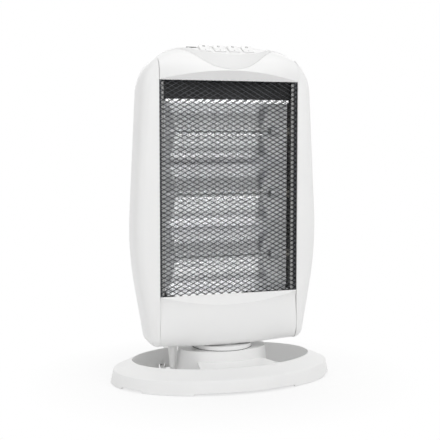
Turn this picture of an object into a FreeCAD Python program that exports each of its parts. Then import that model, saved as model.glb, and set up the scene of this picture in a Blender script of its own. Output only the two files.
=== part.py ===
import FreeCAD, Part
import math
import os
import re
import Sketcher
from FreeCAD import Placement, Rotation, Vector

# Oscillating radiant heater: an oval base, a turning head, three quartz tubes behind a wire grille.
# Millimetres. The origin is the middle of the base on the floor, +Z is up and the grille faces -Y.

SIZES = {
    # Oval base
    "base_length": 340, "base_depth": 226, "base_draft": 4, "base_lift": 1,
    "base_wall_height": 20, "base_crown_height": 32, "base_wall": 2.6, "base_edge_round": 2,
    "ring_width_ends": 32, "ring_width_sides": 28,
    "bridge_waist": 100, "bridge_flare": 128, "bridge_waist_reach": 34, "bridge_end_inset": 23,
    "pedestal_length": 144, "pedestal_depth": 100, "pedestal_height": 47, "pedestal_draft": 4,
    "pedestal_top_wall": 3,
    "foot_gap_height": 3.5, "foot_front_gap_angle": 54, "foot_side_gap_start": 15, "foot_side_gap_end": 33,
    "foot_rim": 8,
    "foot_pad_radius": 8, "foot_pad_thickness": 4, "foot_pad_round": 1, "foot_boss_wall": 1.5,
    "foot_inset_x": 52, "foot_inset_y": 51,
    # Cover below the pedestal
    "pedestal_cover_length": 118, "pedestal_cover_depth": 84, "pedestal_cover_level": 8,
    "pedestal_cover_thickness": 2, "cover_post_radius": 4, "cover_post_x": 40, "cover_post_y": 18,
    # Turning neck
    "pivot_radius": 13, "pivot_bore": 9, "running_clearance": 0.08, "seat_clearance": 0.1,
    "pivot_tail_level": 38, "neck_radius": 45, "neck_wall": 2.5, "neck_rim_level": 48,
    "neck_top_level": 53.7, "hub_radius": 31, "hub_wall": 4, "neck_hole_clearance": 0.6,
    "washer_thickness": 0.9, "washer_inner_radius": 34,
    "retaining_ring_radius": 22, "retaining_ring_thickness": 3,
    # Gear drive for the oscillation
    "gear_module": 1, "fixed_gear_teeth": 36, "pinion_teeth": 12, "gear_thickness": 3.6,
    "pinion_thickness": 3, "gear_backlash": 0.35, "gear_depth_clearance": 0.25,
    "fixed_gear_bore": 14, "pinion_shaft_radius": 2, "gear_lift": 0.4, "gear_centre_slack": 0.15,
    "pressure_angle": 20,
    # Front outline of the head
    "head_bottom": 55, "head_corner_set_out": 12, "head_corner_level": 56.5, "head_corner_radius": 16,
    "head_wide_set_out": 36.3, "head_wide_level": 196, "head_wide_radius": 500,
    "head_shoulder_set_out": 20.8, "head_shoulder_level": 488, "head_shoulder_radius": 66,
    "head_top": 489.5, "head_top_radius": 400, "head_bottom_radius": 600,
    "front_reach": 37, "ridge_reach": 17, "back_reach": 60, "head_wall": 2.5, "wing_round": 15,
    "rear_side_inset": 80, "rear_bottom_rise": 36, "rear_top_drop": 60,
    "vent_width": 110, "vent_height": 5, "vent_pitch": 12, "vent_first_level": 330, "vent_low_level": 100,
    "vents_high": 7, "vents_low": 4,
    # Grille opening and the panels above and below it
    "grille_side_gap": 6, "grille_bottom": 131.5, "grille_top": 441.5, "panel_gap": 0.4,
    "panel_crown": 12, "bevel_height": 14, "panel_thickening": 0.9,
    "knee_side_reach": 4.4, "knee_middle_reach": 1, "knee_side_drop": 6, "knee_middle_drop": 16,
    "waist_bulge": 11, "waist_rise": 26, "chin_side_reach": 5, "chin_bulge": 4, "chin_rise": 6,
    "mesh_margin": 6, "mesh_thickness": 1, "mesh_strand": 1.4, "mesh_pitch_x": 31, "mesh_pitch_z": 16,
    "frame_strip": 10, "frame_thickness": 1.5, "stack_gap": 0.1,
    # Control deck with its keys
    "deck_half_width": 74, "deck_front_reach": 47.5, "deck_skirt_level": 457, "deck_cut_level": 456,
    "deck_lip_level": 478.3,
    "deck_slope": 26, "deck_top": 492, "deck_arch_radius": 533, "deck_wall": 2.6, "deck_recess": 1.2,
    "deck_rim": 2, "deck_gap": 0.2, "deck_rear_opening_level": 485.4, "deck_rear_gap": 1,
    "key_pitch": 22, "key_row_offset": -3.4, "key_reach": 28, "key_width": 15.4, "key_length": 16.6,
    "key_rise": 5.8, "key_drop": 2.5, "key_hollow_radius": 45, "key_hollow": 1, "key_tilt": 8,
    "key_pivot_depth": 3, "key_gap": 0.4, "key_swing_gap": 0.8, "key_stub_radius": 1.5, "key_stub": 1.2,
    "switch_wall": 1.6, "switch_depth": 22, "switch_length": 12, "switch_pocket": 5, "switch_seat_gap": 0.8,
    "window_depth": 8,
    "lens_length": 15, "lens_width": 3.6, "lens_height": 4, "lens_proud": 0.1, "lens_gap": 0.15,
    "lens_x": -54.6, "lens_reach": 23.1, "lamp_radius": 1.5, "lamp_length": 9, "lamp_gap": 0.3,
    # Reflector and heating tubes
    "reflector_bottom": 137, "reflector_depth": 36, "reflector_back": 14,
    "sheet_thickness": 0.8, "reflector_end_inset": 6, "reflector_end_angle": 35, "lip_reach": 28,
    "lip_height": 5, "end_plate_set_in": 0.3, "shelf_lap": 3, "apron_reach": 31, "apron_drop": 5,
    "tube_radius": 5.5, "tube_wall": 1, "tube_half_length": 101, "tube_reach": 6, "filament_radius": 1.2,
    "cap_radius": 7, "cap_overlap": 4, "cap_length": 16, "tube_hole_gap": 0.6,
    "baffle_reach": 25, "baffle_height": 24.8,
    # Sheet metal inside
    "chassis_level": 70, "chassis_thickness": 1.5, "chassis_end_gap": 4, "chassis_front": 14,
    "chassis_back": 25, "bracket_set_out": 3, "bracket_sheet": 1.2, "bracket_front": 30.7,
    "bracket_back": 22, "bracket_flange": 20, "bracket_front_flange": 5, "bracket_top": 440,
    "shield_side_gap": 4, "shield_bottom": 130, "shield_top": 425,
    # Things on the chassis
    "motor_radius": 21, "motor_height": 20, "terminal_length": 36, "terminal_depth": 18,
    "terminal_height": 14, "terminal_x": 58, "tilt_length": 22, "tilt_depth": 16, "tilt_height": 28,
    "tilt_x": -52, "inside_y": 2,
    "cutout_radius": 8, "cutout_height": 9, "cutout_level": 300,
    # Screws
    "screw_radius": 1.7, "screw_head_radius": 3.4, "screw_head_height": 2.2, "screw_gap": 0.1,
    "rear_screw_set_in": 12, "rear_screw_low": 142, "rear_screw_high": 412, "rear_boss_radius": 5,
    "neck_screw_radius_at": 29, "neck_screw_length": 8, "cover_screw_length": 9,
    # Mains lead
    "cord_diameter": 6.4, "cord_x": -78, "boot_end_level": 20, "boot_top_radius": 7, "boot_tip_radius": 4.2,
    "boot_collar_radius": 9.5, "boot_collar_level": 63, "boot_collar_height": 3, "boot_hole_gap": 0.3,
    "ring_notch_width": 11.6, "wall_notch_width": 18, "cord_notch_height": 7.8,
    "ring_notch_reach": 6, "wall_notch_reach": 12,
    "lead_floor_shift": 0.5, "lead_floor_run": 27, "ring_exit_shift": 5, "ring_exit_inset": 12,
    "wall_exit_shift": 16, "wall_exit_inset": 3, "coil_lead_in": 50,
    "coil_x": 18, "coil_y": 206, "coil_radius": 46, "coil_step": 4.2, "coil_layer": 7,
    "coil_half_turns_in": 5, "tie_thickness": 1, "tie_width": 10, "tie_gap": 0.4, "tie_slack": 1.3,
    "plug_axis_level": 14.4,
    "tail_flat": 12, "tail_climb": 14, "tail_end": 10,
    "plug_length": 40, "plug_grip_start": 14, "plug_grip_end": 24, "plug_face_start": 32,
    "plug_grip_radius": 8, "plug_face_radius": 13.8, "plug_neck_radius": 5,
    "pin_radius": 2.4, "pin_length": 19, "pin_spacing": 19,
    "harness_diameter": 6, "harness_gap": 6, "harness_level": 8, "harness_sway": 3,
    "harness_turn_shift": 12, "harness_turn_reach": 2, "harness_turn_rise": 22, "harness_drop": 24,
}

doc = FreeCAD.newDocument("radiant_heater")
sheet = doc.addObject("Spreadsheet::Sheet", "Sizes")
for row, (alias, value) in enumerate(SIZES.items(), start=1):
    sheet.set("A%d" % row, alias)
    sheet.set("B%d" % row, str(value))
    sheet.setAlias("B%d" % row, alias)
doc.recompute()

nodes = []


def size(alias):
    return float(sheet.get(alias))


def formula(text):
    """Point the words of a formula at the cells of the sheet."""
    def cell(found):
        word = found.group(0)
        return "Sizes." + word if word in SIZES else word
    return re.sub(r"[a-z][a-z0-9_]*", cell, text)


def bind(item, name, text):
    item.setExpression(name, formula(str(text)))


def place(item, x=0, y=0, z=0):
    bind(item, "Placement.Base.x", x)
    bind(item, "Placement.Base.y", y)
    bind(item, "Placement.Base.z", z)


def node(item, label):
    item.Label = label
    nodes.append(item)
    return item


# Bound primitives and booleans

def box(name, x0, x1, y0, y1, z0, z1):
    item = doc.addObject("Part::Box", name)
    bind(item, "Length", "(%s) - (%s)" % (x1, x0))
    bind(item, "Width", "(%s) - (%s)" % (y1, y0))
    bind(item, "Height", "(%s) - (%s)" % (z1, z0))
    place(item, x0, y0, z0)
    return item


def rod(name, radius, x, y, z, length, along=Vector(0, 0, 1)):
    item = doc.addObject("Part::Cylinder", name)
    bind(item, "Radius", radius)
    bind(item, "Height", length)
    item.Placement = Placement(Vector(), Rotation(Vector(0, 0, 1), along))
    place(item, x, y, z)
    return item


def fuse(name, *pieces):
    item = doc.addObject("Part::MultiFuse", name)
    item.Shapes = list(pieces)
    return item


def cut(name, body, *tools):
    item = doc.addObject("Part::Cut", name)
    item.Base = body
    item.Tool = tools[0] if len(tools) == 1 else fuse(name + "_tools", *tools)
    return item


# Bodies drawn as sketches

def polygon(sketch, points):
    """A closed chain of lines whose corners are held by bound distances from the origin."""
    count = len(points)
    for index in range(count):
        start = Vector(index, index * index, 0)
        end = Vector(index + 1, (index + 1) * (index + 1), 0)
        sketch.addGeometry(Part.LineSegment(start, end), False)
    for index in range(count):
        sketch.addConstraint(Sketcher.Constraint("Coincident", index, 2, (index + 1) % count, 1))
    for index, point in enumerate(points):
        for kind, text in zip(("DistanceX", "DistanceY"), point):
            spot = sketch.addConstraint(Sketcher.Constraint(kind, -1, 1, index, 1, 1.0 + index))
            bind(sketch, "Constraints[%d]" % spot, text)


def plane_of(body, role):
    return [feature for feature in body.Origin.OriginFeatures if feature.Role == role][0]


def turned(label, points):
    """A body of revolution about its own Z axis from radius and level pairs."""
    body = doc.addObject("PartDesign::Body", label)
    sketch = body.newObject("Sketcher::SketchObject", label + "_profile")
    sketch.AttachmentSupport = [(plane_of(body, "XZ_Plane"), "")]
    sketch.MapMode = "FlatFace"
    polygon(sketch, points)
    spin = body.newObject("PartDesign::Revolution", label + "_turn")
    spin.Profile = sketch
    spin.ReferenceAxis = (sketch, ["V_Axis"])
    spin.Angle = 360
    body.Tip = spin
    return body


def ring(label, inner, outer, level, thickness):
    """A flat ring pressed from sheet: two circles and a pad."""
    body = doc.addObject("PartDesign::Body", label)
    sketch = body.newObject("Sketcher::SketchObject", label + "_circles")
    sketch.AttachmentSupport = [(plane_of(body, "XY_Plane"), "")]
    sketch.MapMode = "FlatFace"
    for index, radius in enumerate((inner, outer)):
        sketch.addGeometry(Part.Circle(Vector(), Vector(0, 0, 1), 1.0 + index), False)
        sketch.addConstraint(Sketcher.Constraint("Coincident", index, 3, -1, 1))
        spot = sketch.addConstraint(Sketcher.Constraint("Radius", index, 1.0 + index))
        bind(sketch, "Constraints[%d]" % spot, radius)
    pad = body.newObject("PartDesign::Pad", label + "_pad")
    pad.Profile = sketch
    bind(pad, "Length", thickness)
    body.Tip = pad
    place(body, 0, 0, level)
    return body


def shaped(label, shape):
    item = doc.addObject("Part::Feature", label)
    item.Shape = shape
    return node(item, label)


def copies(label, master, places):
    doc.recompute()
    solids = []
    for where in places:
        shape = master.Shape.copy()
        shape.Placement = where.multiply(shape.Placement)
        solids.append(shape)
    return shaped(label, Part.makeCompound(solids))


# Shapes worked out in code

def ellipse(length, depth, level):
    return Part.Wire([Part.Ellipse(Vector(0, 0, level), length / 2, depth / 2).toShape()])


def oval_block(length, depth, low, high):
    return Part.Face(ellipse(length, depth, low)).extrude(Vector(0, 0, high - low))


def prism(points, low, high):
    corners = [Vector(x, y, low) for x, y in points]
    return Part.Face(Part.makePolygon(corners + corners[:1])).extrude(Vector(0, 0, high - low))


def slab(x0, x1, y0, y1, z0, z1):
    return Part.makeBox(x1 - x0, y1 - y0, z1 - z0, Vector(x0, y0, z0))


def side_prism(points, half_width):
    corners = [Vector(-half_width, y, z) for y, z in points]
    return Part.Face(Part.makePolygon(corners + corners[:1])).extrude(Vector(2 * half_width, 0, 0))


far = size("base_length") + size("head_top")

# Oval base: a hollow ring, a bridge across it and the pedestal

wall = size("base_wall")
lift = size("base_lift")
base_length = size("base_length")
base_depth = size("base_depth")
draft = size("base_draft")
crown = size("base_crown_height")
hole_length = base_length - 2 * size("ring_width_ends")
hole_depth = base_depth - 2 * size("ring_width_sides")


def ring_hill(inset, low, top_drop):
    shrink = 2 * draft + 2 * inset
    sections = [
        ellipse(base_length - 2 * inset, base_depth - 2 * inset, low),
        ellipse(base_length - shrink, base_depth - shrink, size("base_wall_height") - top_drop),
        ellipse(hole_length, hole_depth, crown - top_drop),
    ]
    return Part.makeLoft(sections, True, True)


ring_outer = ring_hill(0, lift, 0)
rounded = [edge for edge in ring_outer.Edges if abs(edge.BoundBox.ZMin - size("base_wall_height")) < 0.1
           and edge.BoundBox.ZLength < 0.1]
ring_outer = ring_outer.makeFillet(size("base_edge_round"), rounded)
inner_skirt = oval_block(hole_length + 2 * wall, hole_depth + 2 * wall, 0, crown)
ring_hollow = ring_hill(wall, 0, wall).cut(inner_skirt)
ring_hole = oval_block(hole_length, hole_depth, 0, crown + wall)
base = ring_outer.cut(ring_hollow).cut(ring_hole)


def bridge_plan(inset):
    waist = size("bridge_waist") / 2 - inset
    flare = size("bridge_flare") / 2 - inset
    near = size("bridge_waist_reach")
    reach = base_depth / 2 - size("bridge_end_inset")
    right = [(flare, -reach), (waist, -near), (waist, near), (flare, reach)]
    return right + [(-x, y) for x, y in reversed(right)]


bridge_bounds = oval_block(hole_length + wall, hole_depth + wall, 0, crown + wall)
bridge = prism(bridge_plan(0), lift, crown).common(bridge_bounds)
bridge_hollow = prism(bridge_plan(wall), 0, crown - wall).common(ring_hole)
pedestal_length = size("pedestal_length")
pedestal_depth = size("pedestal_depth")
pedestal_height = size("pedestal_height")


def pedestal_cone(inset, low, high):
    shrink = 2 * size("pedestal_draft") + 2 * inset
    wide = ellipse(pedestal_length - 2 * inset, pedestal_depth - 2 * inset, low)
    narrow = ellipse(pedestal_length - shrink, pedestal_depth - shrink, high)
    return Part.makeLoft([wide, narrow], True, True)


pedestal = pedestal_cone(0, lift, pedestal_height)
pedestal_hollow = pedestal_cone(wall, 0, pedestal_height - size("pedestal_top_wall"))
base = base.fuse(bridge).fuse(pedestal).cut(bridge_hollow).cut(pedestal_hollow)

screw_way = size("screw_radius") + size("screw_gap")
cover_level = size("pedestal_cover_level")
cover_top = cover_level + size("pedestal_cover_thickness")
cover_posts = [Vector(sx * size("cover_post_x"), sy * size("cover_post_y"), cover_top)
               for sx in (-1, 1) for sy in (-1, 1)]
post_height = pedestal_height - size("pedestal_top_wall") - cover_top
for spot in cover_posts:
    base = base.fuse(Part.makeCylinder(size("cover_post_radius"), post_height + 1, spot))
    base = base.cut(Part.makeCylinder(screw_way, size("cover_screw_length") + 1, spot))

foot_x = base_length / 2 - size("foot_inset_x")
foot_y = base_depth / 2 - size("foot_inset_y")
foot_spots = [Vector(sx * foot_x, sy * foot_y, 0)
              for sx in (-1, 1) for sy in (-1, 1)]
boss_radius = size("foot_pad_radius") + size("foot_boss_wall")
for spot in foot_spots:
    boss = Part.makeCylinder(boss_radius, crown, spot + Vector(0, 0, size("foot_pad_thickness")))
    base = base.fuse(boss.common(ring_outer))


def rim_wedge(start, end):
    """A slice of the outer rim between two angles, as high as the gap between two feet."""
    angles = [math.radians(start + (end - start) * share / 4) for share in range(5)]
    arc = [(base_length * math.cos(angle), base_depth * math.sin(angle)) for angle in angles]
    core = oval_block(base_length - 2 * size("foot_rim"), base_depth - 2 * size("foot_rim"), 0, crown)
    return prism([(0, 0)] + arc, 0, size("foot_gap_height")).cut(core)


front_half = size("foot_front_gap_angle") / 2
side_gap = (size("foot_side_gap_start"), size("foot_side_gap_end"))
gaps = [(90 - front_half, 90 + front_half), (270 - front_half, 270 + front_half)]
for middle in (0, 180):
    gaps.append((middle + side_gap[0], middle + side_gap[1]))
    gaps.append((middle - side_gap[1], middle - side_gap[0]))
for start, end in gaps:
    base = base.cut(rim_wedge(start, end))

# Route of the mains lead, from the strain relief down to the floor and out under the rear of the ring

cord_radius = size("cord_diameter") / 2
cord_x = size("cord_x")
coil_level = cord_radius + size("tie_thickness") + size("tie_gap")
coil_start = Vector(size("coil_x") - size("coil_radius"), size("coil_y"), coil_level)
ring_exit = Vector(cord_x + size("ring_exit_shift"), hole_depth / 2 - size("ring_exit_inset"), cord_radius)
wall_exit = Vector(cord_x + size("wall_exit_shift"), base_depth / 2 - size("wall_exit_inset"), cord_radius)
lead_route = [
    Vector(cord_x, 0, size("boot_end_level")),
    Vector(cord_x, 0, cord_radius),
    Vector(cord_x - size("lead_floor_shift"), size("lead_floor_run"), cord_radius),
    ring_exit,
    wall_exit,
    Vector(coil_start.x, coil_start.y - size("coil_lead_in"), coil_level),
    coil_start,
]
for spot, way in ((ring_exit, "ring_notch"), (wall_exit, "wall_notch")):
    half_notch = size(way + "_width") / 2
    reach = size(way + "_reach")
    base = base.cut(slab(spot.x - half_notch, spot.x + half_notch, spot.y - reach, spot.y + reach,
                         0, size("cord_notch_height")))
pivot_hole = Part.makeCylinder(size("pivot_radius") + size("running_clearance"), far)
base = base.cut(pivot_hole)
shaped("base_shell", base)

foot = turned("foot_pad_master", [
    ("0", "0"), ("foot_pad_radius - foot_pad_round", "0"), ("foot_pad_radius", "foot_pad_round"),
    ("foot_pad_radius", "foot_pad_thickness"), ("0", "foot_pad_thickness")])
copies("foot_pads", foot, [Placement(spot, Rotation()) for spot in foot_spots])

cover = oval_block(size("pedestal_cover_length"), size("pedestal_cover_depth"), cover_level, cover_top)
for spot in cover_posts:
    cover = cover.cut(Part.makeCylinder(screw_way, far, Vector(spot.x, spot.y, 0)))
shaped("pedestal_cover", cover)

# Screws: one master per length, head below the shank

def screw(label, length):
    return turned(label, [
        ("0", "0"), ("screw_head_radius", "0"), ("screw_head_radius", "screw_head_height"),
        ("screw_radius", "screw_head_height"), ("screw_radius", "screw_head_height + " + length),
        ("0", "screw_head_height + " + length)])


cover_screw = screw("cover_screw_master", "pedestal_cover_thickness + cover_screw_length")
under_cover = Vector(0, 0, cover_level - cover_top - size("screw_head_height"))
copies("cover_screws", cover_screw, [Placement(spot + under_cover, Rotation()) for spot in cover_posts])

# Turning neck: a cup on the pedestal, a tube down through it and a hub up into the head

neck = turned("neck_round", [
    ("pivot_bore", "pivot_tail_level"), ("pivot_radius", "pivot_tail_level"),
    ("pivot_radius", "neck_top_level - neck_wall"),
    ("neck_radius - neck_wall", "neck_top_level - neck_wall"),
    ("neck_radius - neck_wall", "neck_rim_level"), ("neck_radius", "neck_rim_level"),
    ("neck_radius", "neck_top_level"), ("hub_radius", "neck_top_level"),
    ("hub_radius", "chassis_level"), ("hub_radius - hub_wall", "chassis_level"),
    ("hub_radius - hub_wall", "neck_top_level"), ("pivot_bore", "neck_top_level")])
pinion_y = "(fixed_gear_teeth + pinion_teeth) * gear_module / 2 + gear_centre_slack"
shaft_way = rod("pinion_way", "pinion_shaft_radius + 3 * seat_clearance", 0, pinion_y, "neck_rim_level",
                "neck_top_level - neck_rim_level + 1")
screw_ways = []
neck_spots = []
NECK_SCREW_ANGLES = (0, 180, 240, 300)
for index, angle in enumerate(NECK_SCREW_ANGLES):
    across = "neck_screw_radius_at * cos(%d)" % angle
    along = "neck_screw_radius_at * sin(%d)" % angle
    neck_spots.append((across, along))
    screw_ways.append(rod("neck_screw_way_%d" % index, "screw_radius + screw_gap", across, along,
                          "chassis_level - neck_screw_length - 1", "neck_screw_length + 2"))
node(cut("neck_turntable", neck, shaft_way, *screw_ways), "neck_turntable")

node(ring("thrust_washer", "washer_inner_radius", "neck_radius", "pedestal_height", "washer_thickness"),
     "thrust_washer")
node(ring("retaining_ring", "pivot_radius + seat_clearance", "retaining_ring_radius",
          "pedestal_height - pedestal_top_wall - retaining_ring_thickness - 3 * seat_clearance",
          "retaining_ring_thickness"), "retaining_ring")


# Gears: involute flanks, thinned a little so that the pair runs free

def gear_wire(teeth, turn):
    pitch = size("gear_module") * teeth / 2
    tip = pitch + size("gear_module")
    root = pitch - size("gear_module") - size("gear_depth_clearance")
    pressure = math.radians(size("pressure_angle"))
    base_circle = pitch * math.cos(pressure)
    half_tooth = math.pi / 2 / teeth - size("gear_backlash") / 2 / pitch
    lean = math.tan(pressure) - pressure

    def flank(radius):
        roll = math.acos(min(1.0, base_circle / max(radius, base_circle)))
        return half_tooth + lean - (math.tan(roll) - roll)

    steps = [root, max(base_circle, root), pitch, (pitch + tip) / 2, tip]
    points = []
    for tooth in range(teeth):
        middle = turn + 2 * math.pi * tooth / teeth
        points += [(radius, middle - flank(radius)) for radius in steps]
        points += [(radius, middle + flank(radius)) for radius in reversed(steps)]
    corners = []
    for radius, angle in points:
        spot = Vector(radius * math.cos(angle), radius * math.sin(angle), 0)
        if not corners or spot.distanceToPoint(corners[-1]) > 0.001:
            corners.append(spot)
    return Part.makePolygon(corners + corners[:1])


gear_level = Vector(0, 0, pedestal_height)
fixed = Part.Face(gear_wire(int(size("fixed_gear_teeth")), math.pi / 2))
fixed = fixed.extrude(Vector(0, 0, size("gear_thickness")))
fixed = fixed.cut(Part.makeCylinder(size("fixed_gear_bore"), size("gear_thickness")))
fixed.translate(gear_level)
shaped("fixed_gear", fixed)
pinion_teeth = int(size("pinion_teeth"))
pinion = Part.Face(gear_wire(pinion_teeth, -math.pi / 2 + math.pi / pinion_teeth))
pinion = pinion.extrude(Vector(0, 0, size("pinion_thickness")))
shaft_length = size("chassis_level") - pedestal_height - size("gear_lift") - size("seat_clearance")
pinion = pinion.fuse(Part.makeCylinder(size("pinion_shaft_radius"), shaft_length)).removeSplitter()
gear_centres = (size("fixed_gear_teeth") + size("pinion_teeth")) * size("gear_module") / 2
pinion_spot = Vector(0, gear_centres + size("gear_centre_slack"), pedestal_height + size("gear_lift"))
pinion.translate(pinion_spot)
shaped("drive_pinion", pinion)

# Front outline of the head as corners with their rounding

half_opening = size("tube_half_length") + size("grille_side_gap")
head_wide_x = half_opening + size("head_wide_set_out")


def head_corners():
    corner_x = half_opening + size("head_corner_set_out")
    shoulder_x = half_opening + size("head_shoulder_set_out")
    half = [
        (0, size("head_bottom"), size("head_bottom_radius")),
        (corner_x, size("head_corner_level"), size("head_corner_radius")),
        (head_wide_x, size("head_wide_level"), size("head_wide_radius")),
        (shoulder_x, size("head_shoulder_level"), size("head_shoulder_radius")),
        (0, size("head_top"), size("head_top_radius")),
    ]
    return half + [(-x, z, radius) for x, z, radius in reversed(half[1:-1])]


def inset_corners(corners, inset):
    """Move every side of the outline inwards by one distance."""
    count = len(corners)
    lines = []
    for index in range(count):
        x0, z0, _ = corners[index]
        x1, z1, _ = corners[(index + 1) % count]
        length = math.hypot(x1 - x0, z1 - z0)
        ux, uz = (x1 - x0) / length, (z1 - z0) / length
        lines.append((x0 - uz * inset, z0 + ux * inset, ux, uz))
    moved = []
    for index in range(count):
        ax, az, aux, auz = lines[index - 1]
        bx, bz, bux, buz = lines[index]
        along = ((bx - ax) * buz - (bz - az) * bux) / (aux * buz - auz * bux)
        moved.append((ax + aux * along, az + auz * along, corners[index][2] - inset))
    return moved


def outline_wire(corners, y):
    """Lines and tangent arcs around the rounded corners, at one distance from the axis."""
    count = len(corners)
    spots = [Vector(x, y, z) for x, z, radius in corners]
    arcs = []
    for index in range(count):
        here = spots[index]
        before = spots[index - 1]
        after = spots[(index + 1) % count]
        back = (before - here).normalize()
        ahead = (after - here).normalize()
        half_turn = (math.pi - back.getAngle(ahead)) / 2
        reach = corners[index][2] * math.tan(half_turn)
        bisector = (back + ahead).normalize()
        depth = corners[index][2] * (1 / math.cos(half_turn) - 1)
        arcs.append((here + back * reach, here + bisector * depth, here + ahead * reach))
    edges = []
    for index in range(count):
        start, middle, end = arcs[index]
        edges.append(Part.Arc(start, middle, end).toShape())
        edges.append(Part.LineSegment(end, arcs[(index + 1) % count][0]).toShape())
    return Part.Wire(edges)


front_y = -size("front_reach")
ridge_y = -size("ridge_reach")
back_y = size("back_reach")
skin = size("head_wall")


def front_block(inset):
    """The head from the ridge forwards: the outline as a block with its front edge rounded."""
    face = Part.Face(outline_wire(inset_corners(head_corners(), inset), front_y + inset))
    block = face.extrude(Vector(0, ridge_y - front_y - inset, 0))
    edges = [edge for edge in block.Edges if edge.BoundBox.YMax < front_y + inset + 0.01]
    return block.makeFillet(size("wing_round") - inset, edges)


front_skin = front_block(0).cut(front_block(skin))
left_side = slab(-far, -half_opening, -far, far, 0, far)
right_side = slab(half_opening, far, -far, far, 0, far)
neck_hole = Part.makeCylinder(size("hub_radius") + size("neck_hole_clearance"), far)
shaped("wing_left", front_skin.common(left_side))
shaped("wing_right", front_skin.common(right_side))

# Rear cover: a shallow dome behind the ridge

# How far along its full depth the dome is cut off flat, how blunt it is, and where its sections stand
DOME_END_RATIO = 0.9
DOME_POWER = 2.6
DOME_STEPS = (0, 0.3, 0.6, 0.82, 1)


def dome_section(share, y, inset):
    fall = 1 - (1 - share ** DOME_POWER) ** (1 / DOME_POWER)
    narrow = 1 - size("rear_side_inset") * fall / head_wide_x
    low = size("head_bottom") + size("rear_bottom_rise") * fall
    high = size("head_top") - size("rear_top_drop") * fall
    tall = (high - low) / (size("head_top") - size("head_bottom"))
    corners = [(x * narrow, low + (z - size("head_bottom")) * tall, radius * min(narrow, tall))
               for x, z, radius in head_corners()]
    if inset:
        corners = inset_corners(corners, inset)
    return outline_wire(corners, y)


def dome(inset, end_y):
    depth = (back_y - ridge_y) / DOME_END_RATIO
    last = (end_y - ridge_y) / depth
    sections = [dome_section(last * step, ridge_y + last * step * depth, inset) for step in DOME_STEPS]
    return Part.makeLoft(sections, True, False)


rear = dome(0, back_y).cut(dome(skin, back_y - skin))
bracket_x = size("tube_half_length") + size("bracket_set_out")
rear_screw_x = bracket_x - size("rear_screw_set_in")
shield_back = size("bracket_back") + size("sheet_thickness")
rear_screws = [Vector(x, back_y, z) for z in (size("rear_screw_low"), size("rear_screw_high"))
               for x in (-rear_screw_x, rear_screw_x)]
backward = Vector(0, 1, 0)
for spot in rear_screws:
    start = Vector(spot.x, shield_back, spot.z)
    length = back_y - shield_back - skin / 2
    rear = rear.fuse(Part.makeCylinder(size("rear_boss_radius"), length, start, backward))
for spot in rear_screws:
    start = Vector(spot.x, shield_back - 1, spot.z)
    rear = rear.cut(Part.makeCylinder(screw_way, far, start, backward))
    seat = Vector(spot.x, back_y - size("screw_head_height"), spot.z)
    rear = rear.cut(Part.makeCylinder(size("screw_head_radius") + size("screw_gap"), far, seat, backward))
half_vent = size("vent_width") / 2
vent_levels = []
for first, count in (("vent_first_level", "vents_high"), ("vent_low_level", "vents_low")):
    vent_levels += [size(first) + step * size("vent_pitch") for step in range(int(size(count)))]
for level in vent_levels:
    rear = rear.cut(slab(-half_vent, half_vent, back_y - 3 * skin, back_y + skin,
                         level, level + size("vent_height")))
boot_hole = Part.makeCylinder(size("boot_top_radius") + size("boot_hole_gap"), size("chassis_level"),
                              Vector(cord_x, 0, 0))
rear = rear.cut(Part.makeCylinder(size("hub_radius") + size("neck_hole_clearance"), size("chassis_level")))
shaped("rear_cover", rear.cut(boot_hole).removeSplitter())
rear_screw = screw("rear_screw_master", "back_reach - bracket_back + bracket_sheet + 2")
copies("rear_cover_screws", rear_screw, [Placement(spot, Rotation(Vector(0, 0, 1), Vector(0, -1, 0)))
                                         for spot in rear_screws])

# Panels above and below the grille, crowned in the middle

half_panel = half_opening - size("panel_gap")
STATIONS = (-1, -0.55, 0, 0.55, 1)
LEAST_BULGE_RATIO = 0.06
# Directions across the wall, as shares of its thickness, where the panels bend
LIP_RATIO = 0.3
KNEE_RATIO = (0.75, -0.66)
CHIN_RATIO = (0.77, 0.68)


def outline_level(x, top):
    """Height of the outline of the head at one distance from its middle."""
    outline = Part.Face(outline_wire(head_corners(), 0))
    hit = outline.common(Part.makeLine(Vector(x, 0, 0), Vector(x, 0, far))).BoundBox
    return hit.ZMax if top else hit.ZMin


def section(x, points, curves):
    """One closed section of a panel: corner points, with the curved sides through a point or two."""
    edges = []
    count = len(points)
    for index in range(count):
        stops = [points[index]] + curves.get(index, []) + [points[(index + 1) % count]]
        spots = [Vector(x, y, z) for y, z in stops]
        if len(spots) == 2:
            edges.append(Part.LineSegment(*spots).toShape())
        else:
            curve = Part.BSplineCurve()
            curve.interpolate(spots)
            edges.append(curve.toShape())
    return Part.Wire(edges)


def blend(side, middle, share):
    return side + (middle - side) * share


def upper_section(station):
    x = station * half_panel
    share = 1 - station * station
    bulge = max(share, LEAST_BULGE_RATIO)
    edge = (front_y, size("grille_top"))
    nose = (front_y - size("panel_crown") * bulge, size("grille_top") + size("bevel_height") * bulge)
    top = outline_level(x, True)
    knee = (front_y + blend(size("knee_side_reach"), size("knee_middle_reach"), share),
            top - blend(size("knee_side_drop"), size("knee_middle_drop"), share))
    thick = skin + size("panel_thickening") * share
    points = [edge, nose, (ridge_y, top), (ridge_y, top - skin), (nose[0] + thick, nose[1]),
              (edge[0] + skin, edge[1] + LIP_RATIO * skin)]
    inner = (knee[0] + KNEE_RATIO[0] * skin, knee[1] + KNEE_RATIO[1] * skin)
    return section(x, points, {1: [knee], 3: [inner]})


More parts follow.
